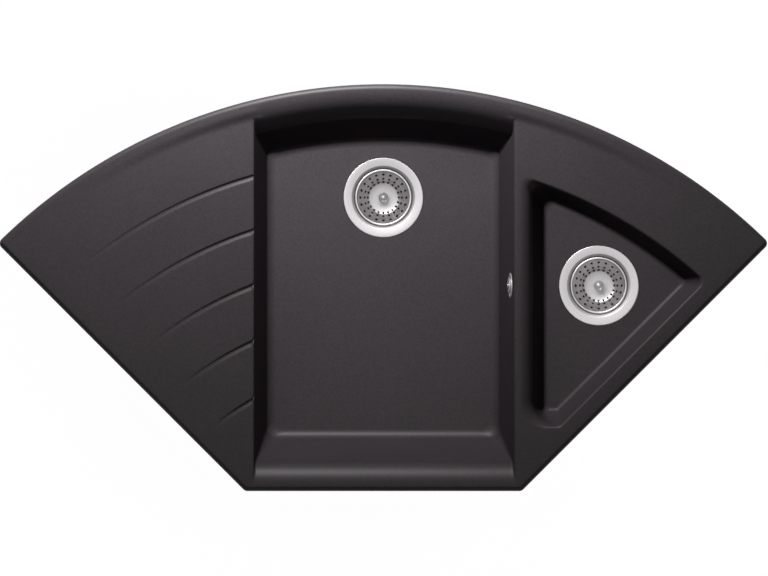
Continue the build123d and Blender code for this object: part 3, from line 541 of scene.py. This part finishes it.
def makeMoulding(material):
    shell = Shell()
    mainBowl["leftShares"] = leftShares(mainBowl)
    mainBowl["rightShares"] = np.unique(np.concatenate([evenly(1, 50), overflowShares()]))
    smallBowl["leftShares"], smallBowl["rightShares"] = evenly(1, 60), evenly(1, 50)
    strip = outerEdge()
    shell.grid(strip)

    # bowls inside and outside, with the overflow's hole left in the right-hand wall
    rings = []
    for name, bowl in bowls.items():
        innerLevels, outerLevels = levelsDown(bowl), levelsOutside(bowl)
        if name == "main":
            innerLevels, outerLevels = withPatchRows(innerLevels), withPatchRows(outerLevels)
        inner = bowlRings(bowl, innerLevels)
        outer = bowlRings(bowl, outerLevels, walls["thickness"])
        if name == "main":
            overflowHole(shell, inner, outer, innerLevels, outerLevels)
        else:
            shell.grid(inner)
            shell.grid(outer, flip=True)
        rings.append((inner, outer))
        recess, hole = (circleLoop(*bowl["waste"], fixings[key], fixings["wasteSteps"])
                        for key in ("recess", "wasteHole"))
        floor, under = bowl["floor"], bowl["floor"] - walls["floorThickness"]
        seat = floor - fixings["recessDepth"]
        shell.fill([inner[-1, :, :2], recess], floor)
        shell.grid(stackLoops([(recess, floor), (recess, seat), (hole, seat), (hole, under)]))
        shell.fill([outer[-1, :, :2], hole], under, flip=True)

    # deck between the outer edge and the bowls
    shell.fill([strip[-1, :, :2], *(inner[0, :, :2] for inner, _ in rings)], deckHeight, deckPoints(rings))

    # underside: seal track, bosses with their blind holes, and the flat between them
    track = [(0.0, 0.0), (plan["sealOuter"], 0.0), (plan["sealOuter"], plan["sealDepth"]),
             (plan["sealInner"], plan["sealDepth"]), (plan["sealInner"], 0.0)]
    shell.grid(stackLoops([(sectorLoop(inset), level) for inset, level in track]), flip=True)
    bosses = []
    for joint in frame["joints"]:
        if joint["type"] == "hinge":
            x, y = np.array(joint["pos_m"][:2]) / mm
            boss = [(circleLoop(x, y, r, fixings["bossSteps"]), level) for r, level in fixings["boss"]]
            shell.grid(stackLoops(boss))
            shell.fill([boss[-1][0]], boss[-1][1], flip=True)
            bosses.append(boss[0][0])
    shell.fill([sectorLoop(plan["sealInner"]), *(outer[0, :, :2] for _, outer in rings), *bosses],
               0.0, flip=True)
    shell.finish("sinkMoulding", "sink", material, "sink_body")


# Wastes: flange with its cup, and the strainer basket. Profiles are (radius, height above the
# bowl's floor). The underside of the flange's rim is given, the rest of it is set off.
waste = {
    "flange": [(56.5, -0.8), (56.45, -0.35), (56.2, 0.02), (55.6, 0.24), (54.4, 0.3), (50.0, 0.1),
               (45.0, -0.14), (44.4, -0.2), (43.8, -0.33), (42.9, -0.62), (41.9, -0.98), (41.1, -1.45),
               (40.7, -2.4), (40.6, -4.0), (40.6, -19.0), (40.3, -20.1), (34.9, -26.9), (34.0, -28.2),
               (34.0, -32.0), (33.3, -33.0)],
    "rim": (56.3, -0.8), "rimFlat": (55.9, 45.0, 7),
    "rimBend": [(44.2, -1.1), (43.6, -1.3), (42.8, -1.6), (42.1, -2.0), (41.7, -2.8), (41.5, -4.2)],
    "sheet": 0.9, "columns": 96, "windows": 8, "windowRing": 21.0, "windowRadius": 5.0, "bore": 2.7,
    "holeColumns": 24,
    "basket": [(2.7, -22.0), (12.0, -22.0), (19.9, -21.95), (23.4, -20.95), (23.9, -20.6), (24.4, -19.9),
               (27.5, -15.6), (28.9, -13.7), (30.2, -11.9), (34.0, -6.65), (35.2, -4.95), (36.0, -3.95),
               (36.6, -3.25), (37.3, -3.0), (39.0, -3.0), (39.6, -3.2), (39.9, -3.7)],
    "basketRim": [(38.0, -4.6), (39.0, -4.55), (39.6, -4.4), (39.9, -4.0)],
    "basketSheet": 0.8, "holes": 20, "steps": 4, "holeRows": (2, 5, 8),
    "holeSizes": ((1.65, 1.65), (1.8, 2.4), (1.85, 2.7)),
}


def aroundAxis(radius, z, turn, centre):
    # (radius, height, angle) around an upright axis, as points
    radius, z, turn = np.broadcast_arrays(radius, z, turn)
    return np.concatenate([onCircle(centre, radius, turn), (centre[2] + z)[..., None]], axis=-1)


def turnedRows(profile, centre, columns, start=0.0):
    # one row of points per profile point, around an upright axis
    radius, z = np.asarray(profile, float).T[:, :, None]
    return aroundAxis(radius, z, start + evenly(2 * math.pi, columns), centre)


def offsetProfile(profile, sheet):
    # the profile set off to its right by the sheet's thickness
    path = np.asarray(profile, float)
    along = np.gradient(path, axis=0)
    along /= np.linalg.norm(along, axis=1)[:, None]
    return path + sheet * np.column_stack([along[:, 1], -along[:, 0]])


def makeFlange(name, material):
    w, centre = waste, wasteCentres[name]
    shell = Shell()
    top = np.asarray(w["flange"])
    under = offsetProfile(top[::-1], w["sheet"])[::-1]
    flat, bend = w["rimFlat"][-1] + 1, len(w["rimBend"])
    under[0] = w["rim"]
    under[1:flat, 0] = np.linspace(*w["rimFlat"])
    under[1:flat, 1] = w["rim"][1]
    under[flat:flat + bend] = w["rimBend"]
    shell.grid(turnedRows(np.concatenate([top[::-1], under]), centre, w["columns"]))
    turns = np.arange(w["windows"]) * 2 * math.pi / w["windows"]
    holes = [circleLoop(*centre[:2], w["bore"], w["holeColumns"])]
    holes += [circleLoop(*onCircle(centre, w["windowRing"], turn), w["windowRadius"], w["holeColumns"])
              for turn in turns]
    heights = centre[2] + top[-1, 1], centre[2] + under[-1, 1]
    for radius, height, flip in ((top[-1, 0], heights[0], False), (under[-1, 0], heights[1], True)):
        shell.fill([circleLoop(*centre[:2], radius, w["columns"]), *holes], height, flip=flip)
    for loop in holes:
        shell.grid(stackLoops([(loop, height) for height in heights]))
    shell.finish(name + "Flange", "sink", material, name + "_waste_flange", 40)


def makeBasket(name, material):
    # Both skins are turned. In the rows with holes every cell gets a round hole, joined to the
    # cell's border by a ring of quads, and short walls join the holes of the two skins.
    w, centre, columns = waste, wasteCentres[name], waste["holes"] * waste["steps"]
    start = -math.pi / w["holes"]
    shell = Shell()
    top = np.asarray(w["basket"])
    under = offsetProfile(top, w["basketSheet"])
    under[-len(w["basketRim"]):] = w["basketRim"]
    rims = []
    for path, flip in ((top, False), (under, True)):
        keep = np.ones((len(path) - 1, columns), bool)
        keep[list(w["holeRows"])] = False
        shell.grid(turnedRows(path, centre, columns, start), keep=keep, flip=flip)
        loops = []
        for row, size in zip(w["holeRows"], w["holeSizes"]):
            border, circle = cellPatches(path[row], path[row + 1], start, size)
            strips = np.stack([border, (border + circle) / 2, circle], axis=1)
            patches = aroundAxis(*np.moveaxis(strips, -1, 0), centre)
            for patch in patches:
                shell.grid(patch, flip=not flip)
            loops += list(patches[:, 2])
        rims.append(loops)
    for near, far in zip(*rims):
        shell.grid(np.stack([near, far]), flip=True)
    shell.grid(turnedRows([top[-1], under[-1]], centre, columns, start))
    shell.grid(turnedRows([under[0], top[0]], centre, columns, start))
    shell.finish(name + "Basket", name + "_basket", material,
                 name + "_strainer_basket", 40)


def cellPatches(near, far, start, size):
    # border and hole of every cell as (radius, z, angle), with equal numbers of points
    steps, count = waste["steps"], waste["holes"]
    share = np.linspace(0, 1, steps + 1)
    up, down, zero, one = share[:-1], share[:0:-1], np.zeros(steps), np.ones(steps)
    side = np.column_stack([np.concatenate([up, one, down, zero]), np.concatenate([zero, up, one, down])])
    length = np.linalg.norm(far - near)
    middle = (near + far) / 2
    cell = 2 * math.pi / count
    across = np.column_stack([(side[:, 0] - 0.5) * cell * middle[0], (side[:, 1] - 0.5) * length])
    hole = across / np.linalg.norm(across, axis=1)[:, None] * size
    angles = start + cell * (np.arange(count) + 0.5)

    def place(points):
        section = middle + (points[:, 1:] / length) * (far - near)
        cells = np.repeat(np.column_stack([section, points[:, 0] / middle[0]])[None], count, axis=0)
        cells[..., 2] += angles[:, None]
        return cells

    return place(across), place(hole)


# Overflow hose: corrugated, with smooth cuffs, along a smooth route from port to port.
# The holds say how far the route keeps to the line of each port.
hose = {
    "start": (190.521, 3.0, -105.876), "corner": (179.066, 3.0, -208.0), "end": (46.111, 94.623, -208.0),
    "startHold": 62.0, "endHold": 110.0, "bore": 10.0, "valley": 10.9, "crest": 12.0, "cuff": 24.0,
    "fade": 3.0, "pitch": 4.2, "flatness": 0.6, "rowStep": 0.6, "boreRows": 6, "columns": 40,
}


def hoseRoute(h, start, corner, end):
    # a curve of order 3 through its end points, measured out in even steps
    first = start + (corner - start) / np.linalg.norm(corner - start) * h["startHold"]
    last = end + (corner - end) / np.linalg.norm(corner - end) * h["endHold"]
    data = bpy.data.curves.new("hoseRoute", "CURVE")
    data.dimensions = "3D"
    spline = data.splines.new("NURBS")
    controls = [start, first, corner, last, end]
    spline.points.add(len(controls) - 1)
    spline.points.foreach_set("co", np.column_stack([controls, np.ones(len(controls))]).ravel())
    spline.order_u = 3
    spline.use_endpoint_u = True
    spline.resolution_u = 64
    holder = bpy.data.objects.new("hoseRoute", data)
    bpy.context.scene.collection.objects.link(holder)
    mesh = bpy.data.meshes.new_from_object(holder.evaluated_get(bpy.context.evaluated_depsgraph_get()))
    points = np.empty(len(mesh.vertices) * 3)
    mesh.vertices.foreach_get("co", points)
    bpy.data.objects.remove(holder)
    bpy.data.curves.remove(data)
    bpy.data.meshes.remove(mesh)
    points = points.reshape(-1, 3)
    run = np.concatenate([[0], np.cumsum(np.linalg.norm(np.diff(points, axis=0), axis=1))])
    steps = np.linspace(0, run[-1], int(run[-1] / h["rowStep"]) + 1)
    return steps, np.column_stack([np.interp(steps, run, points[:, n]) for n in range(3)])


def makeHose(material):
    h = hose
    start, corner, end = (np.array(h[key]) for key in ("start", "corner", "end"))
    steps, route = hoseRoute(h, start, corner, end)
    along = np.gradient(route, axis=0)
    along /= np.linalg.norm(along, axis=1)[:, None]
    side = np.cross(corner - start, end - corner)
    side /= np.linalg.norm(side)
    up = np.cross(along, side)
    # crest and valley follow a flattened cosine, which fades out into the cuffs
    wave = np.cos(steps * 2 * math.pi / h["pitch"])
    wave = 0.5 + 0.5 * np.sign(wave) * np.abs(wave) ** h["flatness"]
    fade = (smoothStep((steps - h["cuff"]) / h["fade"])
            * smoothStep((steps[-1] - h["cuff"] - steps) / h["fade"]))
    radius = h["crest"] - (h["crest"] - h["valley"]) * wave * fade
    turn = evenly(2 * math.pi, h["columns"])[None, :, None]
    around = np.cos(turn) * up[:, None] + np.sin(turn) * side[None, None]
    outer = route[:, None] + around * radius[:, None, None]
    keep = np.unique(np.concatenate([np.arange(0, len(steps), h["boreRows"]), [len(steps) - 1]]))
    inner = route[keep][:, None] + around[keep] * h["bore"]
    shell = Shell()
    shell.grid(outer)
    shell.grid(inner, flip=True)
    shell.grid(np.stack([inner[0], outer[0]]))
    shell.grid(np.stack([outer[-1], inner[-1]]))
    print("hose length", round(float(steps[-1]), 1))
    shell.finish("overflowHose", "sink", material, "overflow_hose", 60)


def put(socket, value):
    # links the socket to another, or sets its constant
    if isinstance(value, bpy.types.NodeSocket):
        socket.id_data.links.new(value, socket)
    else:
        socket.default_value = value


def node(tree, kind, *inputs, **values):
    # A shader node. Values without a name go to its first sockets in order, and those with a
    # name are its settings, or go to the sockets of that name.
    made = tree.nodes.new("ShaderNode" + kind)
    for key in [key for key in values if hasattr(made, key)]:
        setattr(made, key, values.pop(key))
    for place, value in enumerate(inputs):
        put(made.inputs[place], value)
    for key, value in values.items():
        put(made.inputs[key.replace("_", " ")], value)
    return made


def worked(tree, operation, *inputs):
    # the result of a Math node
    return node(tree, "Math", *inputs, operation=operation).outputs[0]


def mapped(tree, value, low, high, start=0.0, end=1.0, kind="LINEAR"):
    # the value carried from start..end to low..high
    return node(tree, "MapRange", Value=value, From_Min=start, From_Max=end, To_Min=low, To_Max=high,
                interpolation_type=kind).outputs["Result"]


def bumped(tree, height, distance, edge=None):
    # the height as a bump, over rounded edges where their radius is given
    over = {} if edge is None else {"Normal": node(tree, "Bevel", samples=4, Radius=edge).outputs[0]}
    return node(tree, "Bump", Strength=1.0, Distance=distance, Height=height, **over).outputs[0]


def newGroup(name, inputs, outputs):
    # a node group with numbers as inputs; the outputs come with their kinds
    tree = bpy.data.node_groups.new(name, "ShaderNodeTree")
    for label, value in inputs.items():
        socket = tree.interface.new_socket(label, in_out="INPUT", socket_type="NodeSocketFloat")
        socket.default_value = value
    for label, kind in outputs.items():
        tree.interface.new_socket(label, in_out="OUTPUT", socket_type="NodeSocket" + kind)
    return tree, tree.nodes.new("NodeGroupInput").outputs, tree.nodes.new("NodeGroupOutput").inputs


def makeSurfaceGroup():
    # fine grain as height over rounded edges, and one slow noise as a tone around 1
    tree, given, out = newGroup("surfaceGrain", {
        "Grain Scale": 900.0, "Height": 0.00003, "Tone Scale": 30.0, "Tone Spread": 0.06,
        "Edge": 0.0004}, {"Normal": "Vector", "Tone": "Float"})
    place = node(tree, "TexCoord").outputs["Object"]
    fine = node(tree, "TexNoise", Vector=place, Scale=given["Grain Scale"], Detail=2.0)
    slow = node(tree, "TexNoise", Vector=place, Scale=given["Tone Scale"], Detail=3.0)
    put(out["Normal"], bumped(tree, fine.outputs[0], given["Height"], given["Edge"]))
    spread = worked(tree, "MULTIPLY", worked(tree, "SUBTRACT", slow.outputs[0], 0.5), given["Tone Spread"])
    put(out["Tone"], worked(tree, "ADD", spread, 1.0))
    return tree


def makeTurningGroup():
    # rings around the nearer waste, as turning or polishing leaves them on steel
    tree, given, out = newGroup("turningLines", {
        "Line Scale": 2600.0, "Height": 0.000004, "Edge": 0.0003},
        {"Normal": "Vector", "Lines": "Float", "Radius": "Float"})
    place = node(tree, "TexCoord").outputs["Object"]
    lengths = []
    for x, y, _ in wasteCentres.values():
        away = node(tree, "VectorMath", place, (x * mm, y * mm, 0), operation="SUBTRACT")
        flat = node(tree, "VectorMath", away.outputs[0], (1, 1, 0), operation="MULTIPLY")
        lengths.append(node(tree, "VectorMath", flat.outputs[0], operation="LENGTH").outputs["Value"])
    radius = worked(tree, "MINIMUM", *lengths)
    height = node(tree, "SeparateXYZ", Vector=place)
    along = node(tree, "CombineXYZ", X=radius, Z=height.outputs["Z"])
    lines = node(tree, "TexNoise", Vector=along.outputs[0], Scale=given["Line Scale"], Detail=2.0)
    put(out["Normal"], bumped(tree, lines.outputs[0], given["Height"], given["Edge"]))
    put(out["Lines"], lines.outputs[0])
    put(out["Radius"], radius)
    return tree


def newMaterial(name, color, roughness, metallic=0.0):
    material = bpy.data.materials.new(name)
    material.use_nodes = True
    shader = material.node_tree.nodes["Principled BSDF"]
    put(shader.inputs["Base Color"], (*color, 1))
    put(shader.inputs["Roughness"], roughness)
    put(shader.inputs["Metallic"], metallic)
    return material, material.node_tree, shader


def sharedNode(tree, shader, group, *values):
    # a shared group with this material's own values, which gives the shader its normal
    shared = node(tree, "Group", *values, node_tree=group)
    put(shader.inputs["Normal"], shared.outputs["Normal"])
    return shared.outputs


def tinted(tree, color, factor):
    # the colour times a factor around 1
    return node(tree, "VectorMath", color, operation="SCALE", Scale=factor).outputs[0]


def grainMaterial(name, color, roughness, metallic, *grain):
    # plain material whose tone and roughness vary a little with the shared grain
    material, tree, shader = newMaterial(name, color, roughness, metallic)
    tone = sharedNode(tree, shader, grainGroup, *grain)["Tone"]
    put(shader.inputs["Base Color"], tinted(tree, color, tone))
    put(shader.inputs["Roughness"], worked(tree, "MULTIPLY", tone, roughness))
    return material


def turnedMaterial(name, color, roughness, metallic, spread, *lines):
    # steel or brass whose roughness follows the lines left by turning
    material, tree, shader = newMaterial(name, color, roughness, metallic)
    share = sharedNode(tree, shader, turningGroup, *lines)["Lines"]
    put(shader.inputs["Roughness"], mapped(tree, share, roughness - spread / 2, roughness + spread / 2))
    return material


def bandedSteel(name, color, within, outside, border, spread=0.12, fade=(-0.0008, 0.0004)):
    # two finishes as (metallic, roughness), which meet at a radius around the waste
    material, tree, shader = newMaterial(name, color, within[1])
    shared = sharedNode(tree, shader, turningGroup)
    share = mapped(tree, shared["Radius"], 0.0, 1.0, border + fade[0], border + fade[1], "SMOOTHSTEP")
    put(shader.inputs["Metallic"], mapped(tree, share, within[0], outside[0]))
    rough = mapped(tree, share, within[1] - spread / 2, outside[1] - spread / 2)
    put(shader.inputs["Roughness"], worked(tree, "MULTIPLY_ADD", shared["Lines"], spread, rough))
    return material


# Stone composite: fine grain in the height, speckle and slow clouds in the tone, and a sheen
# that fades where the surface turns away.
stone = {
    "color": (0.0444, 0.0377, 0.0425), "roughness": 0.51, "grain": 1100.0, "height": 0.00006,
    "cells": 620.0, "speckle": (0.86, 1.14), "clouds": 9.0, "cloud": (0.96, 1.04),
    "sheen": 0.33, "sheenFade": (0.25, 0.8),
}


def graniteMaterial(name, s):
    material, tree, shader = newMaterial(name, s["color"], s["roughness"])
    place = node(tree, "TexCoord").outputs["Object"]
    grain = node(tree, "TexNoise", Vector=place, Scale=s["grain"], Detail=3.0, Roughness=0.6)
    cells = node(tree, "TexVoronoi", Vector=place, Scale=s["cells"])
    slow = node(tree, "TexNoise", Vector=place, Scale=s["clouds"], Detail=4.0)
    put(shader.inputs["Normal"], bumped(tree, grain.outputs[0], s["height"]))
    tone = node(tree, "SeparateXYZ", Vector=cells.outputs["Color"])
    speckle = mapped(tree, tone.outputs["X"], *s["speckle"])
    cloud = mapped(tree, slow.outputs[0], *s["cloud"], 0.3, 0.7)
    put(shader.inputs["Base Color"], tinted(tree, s["color"], worked(tree, "MULTIPLY", speckle, cloud)))
    facing = node(tree, "LayerWeight", Blend=0.5).outputs["Facing"]
    put(shader.inputs["Specular IOR Level"],
        mapped(tree, facing, s["sheen"], 0.0, *s["sheenFade"], "SMOOTHSTEP"))
    return material


# name, colour, roughness, metallic, the roughness's spread, scale and height of the lines
turnedFinishes = {
    "brushed_steel": ("brushedSteel", (0.66, 0.635, 0.65), 0.27, 1.0, 0.12, 2600.0, 0.000004),
    "polished_steel": ("polishedSteel", (0.80, 0.785, 0.79), 0.24, 1.0, 0.06, 1500.0, 0.000001),
    "brass": ("brass", (0.72, 0.52, 0.24), 0.28, 1.0, 0.16, 1800.0, 0.00001),
    "knob": ("knobSteel", (0.95, 0.93, 0.94), 0.42, 0.45, 0.06, 1500.0, 0.000001),
    "cover": ("coverSteel", (0.84, 0.82, 0.83), 0.42, 0.45, 0.1, 1500.0, 0.000002),
}
# the same four, scale and height of the grain, scale and spread of the tone, edge radius
grainFinishes = {
    "zinc_steel": ("zincSteel", (0.62, 0.63, 0.64), 0.38, 1.0, 1400.0, 0.00001, 160.0, 0.5),
    "white_plastic": ("whitePlastic", (0.78, 0.78, 0.765), 0.36, 0.0, 700.0, 0.00001, 14.0, 0.08, 0.0008),
    "hose_plastic": ("hosePlastic", (0.62, 0.63, 0.64), 0.42, 0.0, 500.0, 0.00001, 40.0, 0.1),
    "rubber": ("rubber", (0.028, 0.028, 0.029), 0.62, 0.0, 1500.0, 0.00003, 60.0, 0.3),
    "foam_tape": ("foamTape", (0.12, 0.12, 0.125), 0.85, 0.0, 1300.0, 0.0003, 900.0, 0.7),
}

grainGroup = makeSurfaceGroup()
turningGroup = makeTurningGroup()
finishes = {"granite": graniteMaterial("granite", stone)}
finishes.update({slot: turnedMaterial(*values) for slot, values in turnedFinishes.items()})
finishes.update({slot: grainMaterial(*values) for slot, values in grainFinishes.items()})
flangeSteel = bandedSteel("flangeSteel", (0.72, 0.695, 0.71), (0.45, 0.5), (1.0, 0.28), 0.0443)
basketSteel = bandedSteel("basketSteel", (0.78, 0.76, 0.77), (0.5, 0.4), (1.0, 0.33), 0.0212)
special = {"main_basket_knob": "knob", "small_basket_knob": "knob", "overflow_cover": "cover"}
print("materials", len(bpy.data.materials))

makeCamera(cameraSettings)
makeMoulding(finishes["granite"])
for wasteName in wasteCentres:
    makeFlange(wasteName, flangeSteel)
    makeBasket(wasteName, basketSteel)
makeHose(finishes["hose_plastic"])

for part in frame["record"]["subparts"]:
    target = nodes[part["node"]]
    target.data.materials.clear()
    target.data.materials.append(finishes[special.get(part["node"], part["material_slot"])])


# The camera sees white, diffuse light comes from all round, and reflections see a bright patch
# straight above and below.
studio = {
    "floor": -0.36, "floorSize": 9.0, "floorSeen": 0.9, "floorGlow": 0.5, "paper": (0.9, 0.9, 0.9),
    "diffuse": 0.12, "aroundGlossy": 0.12, "overheadGlossy": 0.95, "patch": (0.93, 0.985),
}


def makeFloor(s):
    half = s["floorSize"] / 2
    data = bpy.data.meshes.new("studioFloor")
    data.from_pydata([(x * half, y * half, s["floor"]) for x, y in ((-1, -1), (1, -1), (1, 1), (-1, 1))],
                     [], [(0, 1, 2, 3)])
    floor = bpy.data.objects.new("studioFloor", data)
    bpy.context.scene.collection.objects.link(floor)
    material, tree, shader = newMaterial("palePaper", s["paper"], 0.9)
    # the camera sees the paper white, and the object gets the light of a lit studio floor
    path = node(tree, "LightPath")
    put(shader.inputs["Emission Color"], (1, 1, 1, 1))
    put(shader.inputs["Emission Strength"],
        worked(tree, "MULTIPLY_ADD", path.outputs["Is Camera Ray"], s["floorSeen"] - s["floorGlow"],
               s["floorGlow"]))
    # seen from below, the floor lets the view through
    below = node(tree, "NewGeometry").outputs["Backfacing"]
    clear = node(tree, "BsdfTransparent").outputs[0]
    either = node(tree, "MixShader", below, shader.outputs[0], clear)
    put(tree.nodes["Material Output"].inputs["Surface"], either.outputs[0])
    data.materials.append(material)


def makeWorld(s):
    world = bpy.data.worlds.new("studio")
    bpy.context.scene.world = world
    world.use_nodes = True
    tree = world.node_tree
    axes = node(tree, "SeparateXYZ", node(tree, "TexCoord").outputs["Object"])
    patch = mapped(tree, worked(tree, "ABSOLUTE", axes.outputs["Z"]), s["aroundGlossy"],
                   s["overheadGlossy"], *s["patch"], "SMOOTHSTEP")
    path = node(tree, "LightPath").outputs
    glossy = node(tree, "Mix", Factor=path["Is Glossy Ray"], A=s["diffuse"], B=patch)
    seen = worked(tree, "MAXIMUM", path["Is Camera Ray"], path["Is Transmission Ray"])
    level = node(tree, "Mix", Factor=seen, A=glossy.outputs["Result"], B=1.0)
    back = tree.nodes["Background"]
    put(back.inputs["Color"], (1, 1, 1, 1))
    put(back.inputs["Strength"], level.outputs["Result"])


# Area lamps, each linked to what it lights: a low one behind for the moulding's highlights,
# four weak ones for the parts under the deck, and a soft one for all fittings.
lamps = {   # energy, place, aim, size, shadow, what it lights
    "lowBackLamp": (33.0, (-0.162, 0.926, 0.470), (-0.162, 0.9261, 0.0), 0.25, False, "stoneOnly")}
for number, (x, y) in enumerate(((1.5, 1.3), (1.4, -1.5), (-1.5, -1.4), (-1.4, 1.5)), 1):
    lamps["belowLamp" + str(number)] = (12.0, (x, y, 0.1), (0, 0, -0.2), 1.2, True, "below")
lamps["fittingsLamp"] = (38.0, (-0.35, 1.3, 1.9), (0.1, 0.05, -0.15), 1.3, True, "fittings")
aboveDeck = ("flange", "basket", "waste_screw", "overflow_cover", "sink_body")


def makeReceivers():
    # a collection for each kind of lamp, with the objects that it lights
    made = {name: bpy.data.collections.new(name) for name in ("stoneOnly", "below", "fittings")}
    made["stoneOnly"].objects.link(bpy.data.objects["sinkMoulding"])
    made["below"].objects.link(bpy.data.objects["overflowHose"])
    for part in frame["record"]["subparts"]:
        if not any(word in part["node"] for word in aboveDeck):
            made["below"].objects.link(nodes[part["node"]])
    for thing in bpy.context.scene.objects:
        if thing.type == "MESH" and thing.name not in ("sinkMoulding", "sink_body", "studioFloor"):
            made["fittings"].objects.link(thing)
    return made


def makeLamp(name, energy, place, aim, size, shadow, receivers):
    data = bpy.data.lights.new(name, "AREA")
    data.energy, data.size, data.use_shadow = energy, size, shadow
    lamp = bpy.data.objects.new(name, data)
    lamp.visible_camera = False
    lamp.location = place
    direction = np.array(aim, float) - np.array(place, float)
    flat = math.hypot(direction[0], direction[1])
    lamp.rotation_euler = (math.atan2(flat, -direction[2]), 0, math.atan2(-direction[0], direction[1]))
    bpy.context.scene.collection.objects.link(lamp)
    lamp.light_linking.receiver_collection = receivers


makeFloor(studio)
makeWorld(studio)
lit = makeReceivers()
for lampName, (*settings, lights) in lamps.items():
    makeLamp(lampName, *settings, lit[lights])
print("lamps", len(lamps))

bpy.context.scene.view_settings.view_transform = "Standard"
